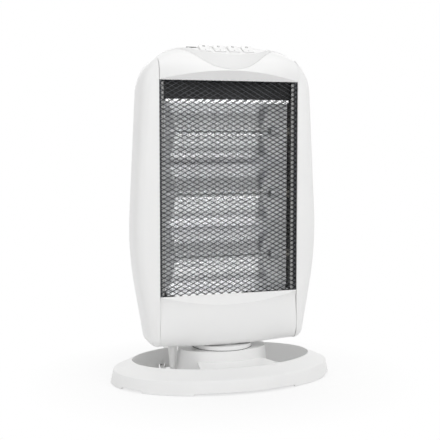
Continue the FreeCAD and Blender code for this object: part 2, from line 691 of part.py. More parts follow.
def lower_section(station):
    x = station * half_panel
    share = 1 - station * station
    bulge = max(share, LEAST_BULGE_RATIO)
    edge = (front_y, size("grille_bottom"))
    nose = (front_y - size("panel_crown") * bulge, size("grille_bottom") - size("bevel_height") * bulge)
    low = outline_level(x, False)
    waist = (front_y - size("waist_bulge") * share, low + size("waist_rise"))
    chin = (front_y + blend(size("chin_side_reach"), -size("chin_bulge"), share), low + size("chin_rise"))
    thick = skin + size("panel_thickening") * share
    points = [edge, nose, (ridge_y, low), (ridge_y, low + skin), (nose[0] + thick, nose[1]),
              (edge[0] + skin, edge[1] - LIP_RATIO * skin)]
    inner = [(chin[0] + CHIN_RATIO[0] * skin, chin[1] + CHIN_RATIO[1] * skin), (waist[0] + skin, waist[1])]
    return section(x, points, {1: [waist, chin], 3: inner})


deck_front_y = -size("deck_front_reach")
deck_half = size("deck_half_width")


def deck_plan(inset, low, high):
    """The crescent plan of the control deck: an arc in front and a straight rear side."""
    bow = ridge_y - deck_front_y
    radius = (deck_half * deck_half + bow * bow) / 2 / bow
    centre_y = deck_front_y + radius
    rear_y = ridge_y - inset
    half = math.sqrt((radius - inset) ** 2 - (rear_y - centre_y) ** 2)
    left = Vector(-half, rear_y, low)
    right = Vector(half, rear_y, low)
    arc = Part.Arc(left, Vector(0, deck_front_y + inset, low), right).toShape()
    plan = Part.Face(Part.Wire([arc, Part.LineSegment(right, left).toShape()]))
    return plan.extrude(Vector(0, 0, high - low))


mesh_y = front_y + skin + size("stack_gap")
mesh_half = half_opening + size("mesh_margin")
mesh_low = size("grille_bottom") - size("mesh_margin")
mesh_high = size("grille_top") + size("mesh_margin")
grille_seat = slab(-far, far, front_y + skin, far,
                   mesh_low - size("stack_gap"), mesh_high + size("stack_gap"))
upper = Part.makeLoft([upper_section(station) for station in STATIONS], True, False).cut(grille_seat)
shaped("upper_fascia", upper.cut(deck_plan(-size("deck_gap"), size("deck_cut_level"), far)))
lower = Part.makeLoft([lower_section(station) for station in STATIONS], True, False).cut(grille_seat)
shaped("lower_fascia", lower.cut(neck_hole))

# Control deck: crescent platform with a sloping, slightly recessed top

slope = math.radians(size("deck_slope"))
lip = size("deck_lip_level")


def deck_level(y):
    return lip + (y - deck_front_y) * math.tan(slope)


def deck_block(inset, drop, low):
    """The platform, drawn in by one distance at its sides and lowered by another at its top."""
    cap = size("deck_top") - drop
    down = drop / math.cos(slope)
    front = deck_front_y - size("deck_wall")
    rear_end = ridge_y + size("deck_wall")
    turn_y = deck_front_y + (cap - lip + down) / math.tan(slope)
    hill = [(front, low), (front, deck_level(front) - down), (turn_y, cap), (rear_end, cap),
            (rear_end, low)]
    arch = Part.makeCylinder(size("deck_arch_radius"), 2 * far,
                             Vector(0, -far, cap - size("deck_arch_radius")), backward)
    return deck_plan(inset, low, far).common(side_prism(hill, deck_half)).common(arch)


def on_deck(x, y, above):
    """A placement on the sloping face: +Y up the slope, +Z away from it, above the recessed face."""
    upward = Vector(0, -math.sin(slope), math.cos(slope))
    floor = Vector(x, y, deck_level(y)) + upward * (above - size("deck_recess"))
    return Placement(floor, Rotation(Vector(1, 0, 0), size("deck_slope")))


key_spots = [size("key_row_offset") + (index - 1.5) * size("key_pitch") for index in range(4)]
window = [size("key_width") / 2 + size("key_gap"), size("key_length") / 2 + size("key_swing_gap")]
switch_half = [window[0] + size("switch_wall"), size("switch_length") / 2]


def sunk_box(half_x, half_y, low, high, where):
    shape = slab(-half_x, half_x, -half_y, half_y, low, high)
    shape.Placement = where
    return shape


deck = deck_block(0, 0, size("deck_skirt_level"))
deck = deck.cut(deck_block(size("deck_wall"), size("deck_wall"), size("deck_skirt_level") - 1))
recess = deck_block(size("deck_rim"), 0, size("deck_skirt_level")).cut(
    deck_block(0, size("deck_recess"), size("deck_skirt_level")))
deck = deck.cut(recess)
rear_gap = switch_half[0] + size("deck_rear_gap")
opening_left = size("lens_x") - size("lamp_length") / 2 - size("deck_rear_gap")
deck = deck.cut(slab(opening_left, key_spots[-1] + rear_gap, ridge_y - 2 * size("deck_wall"), far,
                     0, size("deck_rear_opening_level")))
window_depth = size("window_depth")
for x in key_spots:
    where = on_deck(x, -size("key_reach"), 0)
    deck = deck.cut(sunk_box(window[0], window[1], -window_depth, window_depth, where))
lens_place = on_deck(size("lens_x"), -size("lens_reach"), 0)
lens_half = [size("lens_length") / 2, size("lens_width") / 2]
lens_gap = size("lens_gap")
deck = deck.cut(sunk_box(lens_half[0] + lens_gap, lens_half[1] + lens_gap,
                         -window_depth, window_depth, lens_place))
shaped("control_deck", deck.removeSplitter())
lens_low = size("lens_proud") - size("lens_height")
lens = sunk_box(lens_half[0], lens_half[1], lens_low, size("lens_proud"), lens_place)
shaped("pilot_lens", lens)
lamp_start = Vector(-size("lamp_length") / 2, 0, lens_low - size("lamp_radius") - size("lamp_gap"))
lamp = Part.makeCylinder(size("lamp_radius"), size("lamp_length"), lamp_start, Vector(1, 0, 0))
lamp.Placement = lens_place
shaped("pilot_lamp", lamp)

# Rocker keys on stub axles in their switch bodies

sides = Vector(1, 0, 0)
key_places = [on_deck(x, -size("key_reach"), -size("key_pivot_depth")) for x in key_spots]
for index, where in enumerate(key_places, start=1):
    name = "rocker_%d" % index
    block = box(name + "_block", "-key_width / 2", "key_width / 2", "-key_length / 2", "key_length / 2",
                "-key_drop", "key_rise")
    scoop = rod(name + "_scoop", "key_hollow_radius", "-key_width", 0,
                "key_rise - key_hollow + key_hollow_radius", "2 * key_width", sides)
    axle = rod(name + "_axle", "key_stub_radius", "-key_width / 2 - key_stub", 0, 0,
               "key_width + 2 * key_stub", sides)
    rocker = fuse(name, cut(name + "_face", block, scoop), axle)
    rocker.Placement = where.multiply(Placement(Vector(), Rotation(sides, size("key_tilt"))))
    node(rocker, name)
switch_top = size("key_pivot_depth") + size("deck_recess") - size("deck_wall") - size("switch_seat_gap")
body = slab(-switch_half[0], switch_half[0], -switch_half[1], switch_half[1],
            -size("switch_depth"), switch_top)
body = body.cut(slab(-window[0], window[0], -window[1], window[1], -size("switch_pocket"), far))
axle_reach = size("key_width") / 2 + size("key_stub") + size("seat_clearance")
body = body.cut(Part.makeCylinder(size("key_stub_radius") + size("running_clearance"), 2 * axle_reach,
                                  Vector(-axle_reach, 0, 0), sides))
switches = []
for where in key_places:
    one = body.copy()
    one.Placement = where
    switches.append(one)
shaped("switch_bodies", Part.makeCompound(switches))

# Grille: a net of diamonds in one sheet, and the flat strip that carries it

pitch_x = size("mesh_pitch_x")
pitch_z = size("mesh_pitch_z")
lean = math.atan2(pitch_z, pitch_x)
gap_x = pitch_x / 2 - size("mesh_strand") / 2 / math.sin(lean)
gap_z = pitch_z / 2 - size("mesh_strand") / 2 / math.cos(lean)
net = Part.makePolygon([Vector(x, mesh_y, z) for x, z in (
    (-mesh_half, mesh_low), (mesh_half, mesh_low), (mesh_half, mesh_high), (-mesh_half, mesh_high),
    (-mesh_half, mesh_low))])
gaps = []
columns = int((mesh_half - size("mesh_strand")) / (pitch_x / 2))
rows = int((mesh_high - mesh_low) / (pitch_z / 2))
for column in range(-columns, columns + 1):
    for row in range(1, rows):
        if (column + row) % 2:
            continue
        x = column * pitch_x / 2
        z = mesh_low + row * pitch_z / 2
        if abs(x) + gap_x < mesh_half - 1 and z + gap_z < mesh_high - 1 and z - gap_z > mesh_low + 1:
            gaps.append(Part.makePolygon([Vector(x + dx, mesh_y, z + dz) for dx, dz in (
                (gap_x, 0), (0, gap_z), (-gap_x, 0), (0, -gap_z), (gap_x, 0))]))
print("grille gaps", len(gaps))
net_face = Part.makeFace([net] + gaps, "Part::FaceMakerBullseye")
shaped("grille_mesh", net_face.extrude(Vector(0, size("mesh_thickness"), 0)))
net_half = "tube_half_length + grille_side_gap + mesh_margin"
frame_outer = box("grille_frame_outer", "-(%s)" % net_half, net_half,
                  "head_wall + stack_gap + mesh_thickness - front_reach",
                  "head_wall + stack_gap + mesh_thickness + frame_thickness - front_reach",
                  "grille_bottom - mesh_margin", "grille_top + mesh_margin")
frame_inner = box("grille_frame_inner", "frame_strip - (%s)" % net_half, net_half + " - frame_strip",
                  "-front_reach", "0", "grille_bottom - mesh_margin + frame_strip / 2",
                  "grille_top + mesh_margin - frame_strip / 2")
node(cut("grille_frame", frame_outer, frame_inner), "grille_frame")

# Reflector: three troughs pressed from one sheet, closed by two slanted end plates

TUBE_NAMES = ("tube_bottom", "tube_middle", "tube_top")
sheet_wall = size("sheet_thickness")
reflector_top = size("bracket_top") - size("baffle_height") - size("seat_clearance")
trough_pitch = (reflector_top - size("reflector_bottom")) / len(TUBE_NAMES)
trough_half = trough_pitch / 2
trough_depth = size("reflector_depth")
trough_radius = (trough_half * trough_half + trough_depth * trough_depth) / 2 / trough_depth
trough_y = size("reflector_back") - trough_radius
ridge_line = size("reflector_back") - trough_depth
reflector_half = size("tube_half_length") - size("reflector_end_inset")
lowest_trough = size("reflector_bottom") + trough_half
trough_levels = [lowest_trough + step * trough_pitch for step in range(len(TUBE_NAMES))]
reflector = None
for level in trough_levels:
    start = Vector(-reflector_half, trough_y, level)
    shell = Part.makeCylinder(trough_radius + sheet_wall, 2 * reflector_half, start, sides)
    shell = shell.cut(Part.makeCylinder(trough_radius, 2 * reflector_half, start, sides))
    shell = shell.common(slab(-far, far, ridge_line, far, level - trough_half, level + trough_half))
    reflector = shell if reflector is None else reflector.fuse(shell)
lip_y = -size("lip_reach")
shelf_end = ridge_line + size("shelf_lap")
reflector = reflector.fuse(slab(-reflector_half, reflector_half, lip_y, shelf_end,
                                reflector_top - sheet_wall, reflector_top))
apron_low = size("reflector_bottom") - size("apron_drop")
apron_end = size("reflector_bottom") + sheet_wall
apron = [(-size("apron_reach"), apron_low), (shelf_end, size("reflector_bottom")), (shelf_end, apron_end),
         (-size("apron_reach"), apron_low + sheet_wall)]
reflector = reflector.fuse(side_prism(apron, reflector_half))
reflector = reflector.fuse(slab(-reflector_half, reflector_half, lip_y - sheet_wall, lip_y,
                                reflector_top - size("lip_height"), reflector_top))
end_angle = math.radians(size("reflector_end_angle"))


def end_wedge(side, shift):
    """Everything outside the slanted end plane of the reflector, moved out by a distance."""
    front_x = reflector_half + shift
    reach = 2 * trough_depth
    back_x = front_x - reach * math.tan(end_angle)
    plan = [(front_x, ridge_line), (back_x, ridge_line + reach), (far, ridge_line + reach),
            (far, ridge_line)]
    return prism([(side * x, y) for x, y in plan], size("reflector_bottom"), reflector_top)


for side in (-1, 1):
    reflector = reflector.cut(end_wedge(side, -size("end_plate_set_in") - size("stack_gap")))
shaped("reflector", reflector.removeSplitter())
tube_y = -size("tube_reach")
for side, label in ((-1, "reflector_end_left"), (1, "reflector_end_right")):
    inside = -size("end_plate_set_in")
    plate = end_wedge(side, inside).cut(end_wedge(side, inside + sheet_wall / math.cos(end_angle)))
    plate = plate.common(slab(-far, far, ridge_line, size("reflector_back") + sheet_wall, 0, far))
    for level in trough_levels:
        plate = plate.cut(Part.makeCylinder(size("tube_radius") + size("tube_hole_gap"), 2 * far,
                                            Vector(-far, tube_y, level), sides))
    shaped(label, plate)
bracket_at = "tube_half_length + bracket_set_out"
baffle = box("baffle_sheet", "seat_clearance - (%s)" % bracket_at, bracket_at + " - seat_clearance",
             "-baffle_reach", "sheet_thickness - baffle_reach",
             "bracket_top - baffle_height", "bracket_top")
node(baffle, "upper_baffle")

# Heating tubes with their filaments and ceramic caps

for step, label in enumerate(TUBE_NAMES):
    share = (step + 0.5) / len(TUBE_NAMES)
    space = "(bracket_top - baffle_height - seat_clearance - reflector_bottom)"
    level = "reflector_bottom + %s * %r" % (space, share)
    outer = rod(label + "_glass", "tube_radius", "-tube_half_length", "-tube_reach", level,
                "2 * tube_half_length", sides)
    bore = rod(label + "_bore", "tube_radius - tube_wall", "-tube_half_length", "-tube_reach", level,
               "2 * tube_half_length", sides)
    node(cut(label, outer, bore), label)
filament = Part.makeCylinder(size("filament_radius"), 2 * size("tube_half_length"))
filament_turn = Rotation(Vector(0, 0, 1), sides)
wires = []
for level in trough_levels:
    one = filament.copy()
    one.Placement = Placement(Vector(-size("tube_half_length"), tube_y, level), filament_turn)
    wires.append(one)
shaped("filaments", Part.makeCompound(wires))
cap = turned("tube_cap_master", [
    ("0", "cap_overlap + seat_clearance"), ("tube_radius + seat_clearance", "cap_overlap + seat_clearance"),
    ("tube_radius + seat_clearance", "0"), ("cap_radius", "0"),
    ("cap_radius", "cap_length"), ("0", "cap_length")])
cap_x = size("tube_half_length") - size("cap_overlap")
cap_places = []
for side in (-1, 1):
    for level in trough_levels:
        cap_places.append(Placement(Vector(side * cap_x, tube_y, level),
                                    Rotation(Vector(0, 0, 1), sides * side)))
copies("tube_caps", cap, cap_places)

# Bent sheet brackets that carry the tubes, the shield behind the reflector and the chassis plate

bracket_foot = size("chassis_level") + size("chassis_thickness")
for side, label in ((-1, "tube_bracket_left"), (1, "tube_bracket_right")):
    sheet_bend = size("bracket_sheet")
    at = bracket_x
    low = bracket_foot
    high = size("bracket_top")
    near = -size("bracket_front")
    back = size("bracket_back")

    def strip(x0, x1, y0, y1, z0, z1):
        return slab(min(side * x0, side * x1), max(side * x0, side * x1), y0, y1, z0, z1)

    web = strip(at, at + sheet_bend, near, back, size("grille_bottom"), high)
    leg = strip(at, at + sheet_bend, -size("chassis_front"), back, low, high)
    foot_flange = strip(at - size("bracket_flange"), at + sheet_bend, -size("chassis_front"), back, low,
                        low + sheet_bend)
    rear_flange = strip(at - size("bracket_flange"), at + sheet_bend, back - sheet_bend, back,
                        size("shield_bottom"), size("shield_top"))
    front_flange = strip(at - size("bracket_front_flange"), at + sheet_bend, near, near + sheet_bend,
                         size("grille_bottom"), high)
    bracket = web.fuse(leg).fuse(foot_flange).fuse(rear_flange).fuse(front_flange)
    for level in trough_levels:
        bracket = bracket.cut(Part.makeCylinder(size("cap_radius") + size("seat_clearance"), 2 * far,
                                                Vector(-far, tube_y, level), sides))
    for spot in rear_screws:
        bracket = bracket.cut(Part.makeCylinder(screw_way, back_y, Vector(spot.x, 0, spot.z), backward))
    shaped(label, bracket.removeSplitter())
shield = box("shield_sheet", "shield_side_gap - (%s)" % bracket_at, bracket_at + " - shield_side_gap",
             "bracket_back", "bracket_back + sheet_thickness", "shield_bottom", "shield_top")
shield_ways = []
for level in ("rear_screw_low", "rear_screw_high"):
    for x in ("rear_screw_set_in - (%s)" % bracket_at, bracket_at + " - rear_screw_set_in"):
        shield_ways.append(rod("shield_way_%d" % len(shield_ways), "screw_radius + screw_gap",
                               x, "bracket_back - 1", level, "sheet_thickness + 2", backward))
node(cut("heat_shield", shield, *shield_ways), "heat_shield")
plate = box("chassis_sheet", "chassis_end_gap - (%s)" % bracket_at, bracket_at + " - chassis_end_gap",
            "-chassis_front", "chassis_back",
            "chassis_level", "chassis_level + chassis_thickness")
wide = box("chassis_middle", "-hub_radius", "hub_radius", "-hub_radius", "hub_radius", "chassis_level",
           "chassis_level + chassis_thickness")
plate_ways = [rod("plate_way_%d" % index, "screw_radius + screw_gap", across, along, "chassis_level - 1",
                  "chassis_thickness + 2") for index, (across, along) in enumerate(neck_spots)]
node(cut("chassis_plate", fuse("chassis_blank", plate, wide), *plate_ways), "chassis_plate")
neck_screw = screw("neck_screw_master", "chassis_thickness + neck_screw_length")
upside_down = Rotation(Vector(1, 0, 0), 180)
screw_level = bracket_foot + size("screw_head_height")
neck_places = []
screw_circle = size("neck_screw_radius_at")
for angle in NECK_SCREW_ANGLES:
    turn = math.radians(angle)
    spot = Vector(screw_circle * math.cos(turn), screw_circle * math.sin(turn), screw_level)
    neck_places.append(Placement(spot, upside_down))
copies("neck_screws", neck_screw, neck_places)

# Parts on the chassis

motor = rod("motor_can", "motor_radius", 0, pinion_y, "chassis_level + chassis_thickness + seat_clearance",
            "motor_height")
node(motor, "oscillation_motor")
on_plate = "chassis_level + chassis_thickness"
terminal = box("terminal_strip", "terminal_x - terminal_length / 2", "terminal_x + terminal_length / 2",
               "inside_y - terminal_depth / 2", "inside_y + terminal_depth / 2",
               on_plate, on_plate + " + terminal_height")
node(terminal, "terminal_block")
tilt = box("tilt_box", "tilt_x - tilt_length / 2", "tilt_x + tilt_length / 2", "inside_y - tilt_depth / 2",
           "inside_y + tilt_depth / 2", on_plate, on_plate + " + tilt_height")
node(tilt, "tilt_switch")
cutout = rod("cutout_disc", "cutout_radius", 0, "bracket_back + sheet_thickness", "cutout_level",
             "cutout_height", backward)
node(cutout, "thermal_cutout")

# Strain relief through the floor of the head

boot = turned("boot_round", [
    ("0", "boot_end_level"), ("boot_tip_radius", "boot_end_level"), ("boot_top_radius", "head_bottom"),
    ("boot_top_radius", "boot_collar_level"), ("boot_collar_radius", "boot_collar_level"),
    ("boot_collar_radius", "boot_collar_level + boot_collar_height"),
    ("0", "boot_collar_level + boot_collar_height")])
place(boot, "cord_x", 0, 0)
node(boot, "strain_relief")


# Mains lead

# Share of the shorter run that an arc takes up
ARC_RATIO = 0.45


def rounded_route(points):
    """Straight runs joined by tangent arcs, each as wide as its shorter run allows."""
    edges = []
    radii = []
    last = points[0]
    for before, here, after in zip(points, points[1:], points[2:]):
        back = (before - here).normalize()
        ahead = (after - here).normalize()
        half_turn = (math.pi - back.getAngle(ahead)) / 2
        reach = ARC_RATIO * min(here.distanceToPoint(before), here.distanceToPoint(after))
        radius = reach / math.tan(half_turn)
        middle = here + (back + ahead).normalize() * radius * (1 / math.cos(half_turn) - 1)
        edges.append(Part.LineSegment(last, here + back * reach).toShape())
        edges.append(Part.Arc(here + back * reach, middle, here + ahead * reach).toShape())
        last = here + ahead * reach
        radii.append(round(radius, 1))
    edges.append(Part.LineSegment(last, points[-1]).toShape())
    return edges, radii


def tube_along(edges, radius):
    wire = Part.Wire(edges)
    first = edges[0]
    start = first.valueAt(first.FirstParameter)
    heading = first.tangentAt(first.FirstParameter)
    ring_wire = Part.Wire([Part.makeCircle(radius, start, heading)])
    return wire, wire.makePipeShell([ring_wire], True, False)


lead_edges, lead_radii = rounded_route(lead_route)
lead_wire, lead = tube_along(lead_edges, cord_radius)
print("lead radii", lead_radii, "length", round(lead_wire.Length, 1))
shaped("cord_lead", lead)

# The put-away length: half turns spiral in on the floor, climb and spiral out on top

coil_step = size("coil_step")
coil_layer = size("coil_layer")
turns_in = int(size("coil_half_turns_in"))
coil_centre = Vector(size("coil_x"), size("coil_y"), coil_level)


def on_coil(side, radius, height):
    return coil_centre + Vector(side * radius, 0, height)


def flat_half_turn(side, start, end, height):
    """Two quarter arcs to the other side, round the back from the left and the front from the right."""
    round_by = Vector(0, -side, 0)
    middle = (on_coil(side, start, height) + on_coil(-side, end, height)) * 0.5
    radius = (start + end) / 2
    corner = math.sqrt(0.5) * radius
    along = Vector(side, 0, 0)
    top = middle + round_by * radius
    outward = round_by * corner
    first = Part.Arc(middle + along * radius, middle + along * corner + outward, top)
    second = Part.Arc(top, middle - along * corner + outward, middle - along * radius)
    return [first.toShape(), second.toShape()]


def climbing_half_turn(side, radius):
    """Two tilted quarter arcs that rise one layer between them."""
    round_by = Vector(0, -side, 0)
    start = on_coil(side, radius, 0)
    end = on_coil(-side, radius, coil_layer)
    half = (end - start) * 0.5
    reach = half.Length
    across = half * (1 / reach)
    top = start + half + round_by * reach
    bend = math.sqrt(0.5) * reach
    first = Part.Arc(start, start + round_by * bend + across * (reach - bend), top)
    second = Part.Arc(top, end + round_by * bend - across * (reach - bend), end)
    return [first.toShape(), second.toShape()]


coil_edges = []
side = -1
radius = size("coil_radius")
for turn in range(turns_in):
    coil_edges += flat_half_turn(side, radius, radius - coil_step, 0)
    radius -= coil_step
    side = -side
coil_edges += climbing_half_turn(side, radius)
side = -side
for turn in range(turns_in):
    coil_edges += flat_half_turn(side, radius, radius + coil_step, coil_layer)
    radius += coil_step
    side = -side
tail_start = on_coil(side, radius, coil_layer)
plug_level = size("plug_axis_level")
tail_route = [tail_start, tail_start + Vector(0, -size("tail_flat"), 0)]
tail_route.append(Vector(tail_start.x, tail_route[-1].y - size("tail_climb"), plug_level))
tail_route.append(Vector(tail_start.x, tail_route[-1].y - size("tail_end"), plug_level))
tail_edges, tail_radii = rounded_route(tail_route)
coil_wire, coil = tube_along(coil_edges + tail_edges, cord_radius)
shaped("cord_coil", coil)

# Least gap of the coil to itself, on points along its middle line

GAP_POINTS = 900
NEAR_DIAMETERS = 3
spots = coil_wire.discretize(Number=GAP_POINTS)
apart = int(NEAR_DIAMETERS * 2 * cord_radius * (GAP_POINTS - 1) / coil_wire.Length)
least = coil_wire.Length
for start, spot in enumerate(spots):
    for other in spots[start + apart:]:
        least = min(least, spot.distanceToPoint(other))
print("coil length", round(coil_wire.Length, 1), "tail radii", tail_radii)
print("coil least gap", round(least - 2 * cord_radius, 2))

# Tie around the coil, plug and pins

tie_inner_y = coil_centre.y + size("coil_radius") - (turns_in - 0.5) * coil_step
tie_inner_y -= cord_radius + size("tie_slack")
tie_outer_y = coil_centre.y + size("coil_radius") - coil_step / 2 + cord_radius + size("tie_gap")
tie_low = coil_level - cord_radius - size("tie_gap")
tie_high = coil_level + coil_layer + cord_radius + size("tie_gap")
half_tie = size("tie_width") / 2
tie_wall = size("tie_thickness")
tie = slab(coil_centre.x - half_tie, coil_centre.x + half_tie,
           tie_inner_y - tie_wall, tie_outer_y + tie_wall, tie_low - tie_wall, tie_high + tie_wall)
tie = tie.cut(slab(-far, far, tie_inner_y, tie_outer_y, tie_low, tie_high))
shaped("cord_tie", tie)
plug = turned("plug_round", [
    ("0", "0"), ("plug_neck_radius", "0"), ("plug_grip_radius", "plug_grip_start"),
    ("plug_grip_radius", "plug_grip_end"), ("plug_face_radius", "plug_face_start"),
    ("plug_face_radius", "plug_length"), ("0", "plug_length")])
forward = Rotation(Vector(0, 0, 1), Vector(0, -1, 0))
plug_spot = tail_route[-1]
plug.Placement = Placement(plug_spot, forward)
node(plug, "plug_body")
pins = []
for side in (-1, 1):
    start = plug_spot + Vector(side * size("pin_spacing") / 2, -size("plug_length"), 0)
    pins.append(Part.makeCylinder(size("pin_radius"), size("pin_length"), start, Vector(0, -1, 0)))
shaped("plug_pins", Part.makeCompound(pins))

# Wiring from the terminals up behind the heat shield to the switches

wire_radius = size("harness_diameter") / 2
wire_y = shield_back + size("harness_diameter") + size("harness_gap")
wire_x = size("terminal_x")
sway = size("harness_sway")
terminal_back = size("inside_y") + size("terminal_depth") / 2
harness_route = [
    Vector(wire_x, terminal_back, bracket_foot + size("harness_level")),
    Vector(wire_x, wire_y, bracket_foot + size("harness_level")),
]
for share, shift in ((0.2, sway), (0.45, 0), (0.7, sway), (0.92, 0)):
    level = blend(bracket_foot, size("shield_top"), share)
    harness_route.append(Vector(wire_x - sway - shift, wire_y + shift, level))
harness_route.append(Vector(wire_x - size("harness_turn_shift"),
                            size("bracket_back") - size("harness_turn_reach"),
                            size("shield_top") + size("harness_turn_rise")))
harness_route.append(key_places[-1].multVec(Vector(0, 0, -size("switch_depth") - size("harness_drop"))))
harness_route.append(key_places[-1].multVec(Vector(0, 0, -size("switch_depth") - size("seat_clearance"))))
harness_edges, harness_radii = rounded_route(harness_route)
print("harness radii", harness_radii)
shaped("wiring_harness", tube_along(harness_edges, wire_radius)[1])

doc.recompute()
for item in doc.Objects:
    if "Invalid" in item.State or "Error" in item.State:
        raise RuntimeError("not rebuilt: " + item.Label)
os.makedirs("parts", exist_ok=True)
for item in nodes:
    if item.Shape.isNull() or not item.Shape.isValid():
        raise RuntimeError("bad shape: " + item.Label)
    item.Shape.exportStep("parts/%s.step" % item.Label)
print("nodes", len(nodes))
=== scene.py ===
import math

import bmesh
import bpy
from mathutils import Matrix, Vector
from mathutils.bvhtree import BVHTree


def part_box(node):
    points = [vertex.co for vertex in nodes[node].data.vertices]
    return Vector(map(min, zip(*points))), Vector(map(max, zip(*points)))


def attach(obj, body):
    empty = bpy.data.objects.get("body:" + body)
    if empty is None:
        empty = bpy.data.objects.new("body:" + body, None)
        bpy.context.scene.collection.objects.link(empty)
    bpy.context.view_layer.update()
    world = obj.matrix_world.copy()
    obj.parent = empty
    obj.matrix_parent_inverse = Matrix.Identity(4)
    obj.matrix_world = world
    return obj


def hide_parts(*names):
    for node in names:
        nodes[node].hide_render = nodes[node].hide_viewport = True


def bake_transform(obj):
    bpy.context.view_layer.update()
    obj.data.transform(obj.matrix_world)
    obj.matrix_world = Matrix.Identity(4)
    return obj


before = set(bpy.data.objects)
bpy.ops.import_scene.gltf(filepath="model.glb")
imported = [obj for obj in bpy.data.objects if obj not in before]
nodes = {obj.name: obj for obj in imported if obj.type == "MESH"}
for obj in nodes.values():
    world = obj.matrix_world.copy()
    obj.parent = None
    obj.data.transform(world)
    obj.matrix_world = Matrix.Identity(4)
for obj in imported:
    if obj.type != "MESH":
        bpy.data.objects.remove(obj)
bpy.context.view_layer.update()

# Oscillating radiant heater in moulded white plastic. Metres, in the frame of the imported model:
# the origin is the middle of the base on the floor, +Z is up and the grille faces -Y.

MM = 0.001
ACROSS = Vector((1, 0, 0))
UPWARDS = Vector((0, 0, 1))
QUARTER_TURN = Matrix.Rotation(math.pi / 2, 4, "X")

# Camera at the photograph's place: low, to the left of the grille, looking a little down

CAMERA_PLACE = (-0.491, -1.349, 0.360)
CAMERA_DOWN = 4.9
CAMERA_TURN = -19.9
SENSOR_WIDTH = 36
FOCAL_LENGTH = 78.7
camera_data = bpy.data.cameras.new("camera")
camera_data.sensor_width = SENSOR_WIDTH
camera_data.lens = FOCAL_LENGTH
camera = bpy.data.objects.new("camera", camera_data)
camera.location = CAMERA_PLACE
camera.rotation_euler = (math.radians(90 - CAMERA_DOWN), 0, math.radians(CAMERA_TURN))
bpy.context.scene.collection.objects.link(camera)
bpy.context.scene.camera = camera


# Finishes

def linear(code):
    """An sRGB hex colour as linear red, green, blue and alpha."""
    channels = [int(code[start:start + 2], 16) / 255 for start in (1, 3, 5)]
    return [c / 12.92 if c <= 0.04045 else ((c + 0.055) / 1.055) ** 2.4 for c in channels] + [1.0]


def add(tree, kind, inputs, **settings):
    """One node with its settings; an input is a number, a colour or the socket that feeds it."""
    made = tree.nodes.new(kind)
    for name, value in settings.items():
        setattr(made, name, value)
    for name, value in inputs.items():
        if isinstance(value, bpy.types.NodeSocket):
            tree.links.new(value, made.inputs[name])
        else:
            made.inputs[name].default_value = value
    return made


def finish_named(name, **surface):
    """A new material with the plain values of its surface, and its tree, shader and Object coordinates."""
    made = bpy.data.materials.new(name)
    made.use_nodes = True
    tree = made.node_tree
    shader = tree.nodes["Principled BSDF"]
    for socket, value in surface.items():
        shader.inputs[socket.replace("_", " ")].default_value = value
    place = add(tree, "ShaderNodeTexCoord", {}).outputs["Object"]
    return made, tree, shader, place


def per_metre(feature_mm):
    """Scale of a pattern whose features are this wide."""
    return 1 / (feature_mm * MM)


# Widths of the slow patterns in millimetres, and the span of a noise that the gloss follows
TONE_DRIFT = 60
GLOSS_PATCH = 18
SHEET_CLOUD = 35
GLASS_FILM = 9
NOISE_LOW = 0.3
NOISE_HIGH = 0.7


def moulded(name, light, dark, roughness, spread, grain_mm, depth_mm, edge_mm=0.5, **surface):
    """Moulded or coated: a slow drift between two near tones, uneven gloss, a fine grain and soft edges."""
    made, tree, shader, place = finish_named(name, **surface)
    drift = add(tree, "ShaderNodeTexNoise", {"Vector": place, "Scale": per_metre(TONE_DRIFT), "Detail": 2.0})
    tone = add(tree, "ShaderNodeMix", {"Factor": drift.outputs["Fac"], "A": linear(dark),
                                       "B": linear(light)}, data_type="RGBA")
    tree.links.new(tone.outputs["Result"], shader.inputs["Base Color"])
    patches = add(tree, "ShaderNodeTexNoise", {"Vector": place, "Scale": per_metre(GLOSS_PATCH), "Detail": 4.0})
    gloss = add(tree, "ShaderNodeMapRange", {"Value": patches.outputs["Fac"],
                                             "From Min": NOISE_LOW, "From Max": NOISE_HIGH,
                                             "To Min": roughness - spread, "To Max": roughness + spread})
    tree.links.new(gloss.outputs["Result"], shader.inputs["Roughness"])
    grain = add(tree, "ShaderNodeTexNoise", {"Vector": place, "Scale": per_metre(grain_mm), "Detail": 3.0})
    soft = add(tree, "ShaderNodeBevel", {"Radius": edge_mm * MM}, samples=6)
    bump = add(tree, "ShaderNodeBump", {"Height": grain.outputs["Fac"], "Strength": 0.35,
                                        "Distance": depth_mm * MM, "Normal": soft.outputs["Normal"]})
    tree.links.new(bump.outputs["Normal"], shader.inputs["Normal"])
    return made


# White ABS from a fine spark-eroded tool: a soft satin sheen. The real grain is about 0.1 mm; it is
# drawn 0.9 mm wide so that it still breaks up the highlights in the picture.
white_abs = moulded("white_abs_satin", "#F4F4F3", "#F0F0F0", roughness=0.36, spread=0.05,
                    grain_mm=0.9, depth_mm=0.04, edge_mm=0.9, IOR=1.53)
# The keys come from a polished tool: the same plastic, brighter and glossier, with a slight ripple.
white_keys = moulded("white_abs_polished", "#F8F8F7", "#F4F4F4", roughness=0.18, spread=0.04,
                     grain_mm=5, depth_mm=0.03, IOR=1.53)
# Glass-filled nylon of gears, switch bodies and terminals: dull mid grey with a coarse grain.
grey_nylon = moulded("grey_nylon", "#8A8B8C", "#7B7C7E", roughness=0.58, spread=0.08,
                     grain_mm=1.2, depth_mm=0.06, IOR=1.53)
# Soft PVC of lead, boot and plug: a white like the housing's, with a dull, slightly waxy skin.
white_pvc = moulded("white_soft_pvc", "#F3F3F2", "#EDEDEC", roughness=0.47, spread=0.05,
                    grain_mm=1.6, depth_mm=0.05, IOR=1.52)
# Rubber of the feet: near black, matt, with a fine tooth.
black_rubber = moulded("black_rubber", "#262626", "#1B1B1C", roughness=0.78, spread=0.08,
                       grain_mm=0.8, depth_mm=0.08, IOR=1.52)
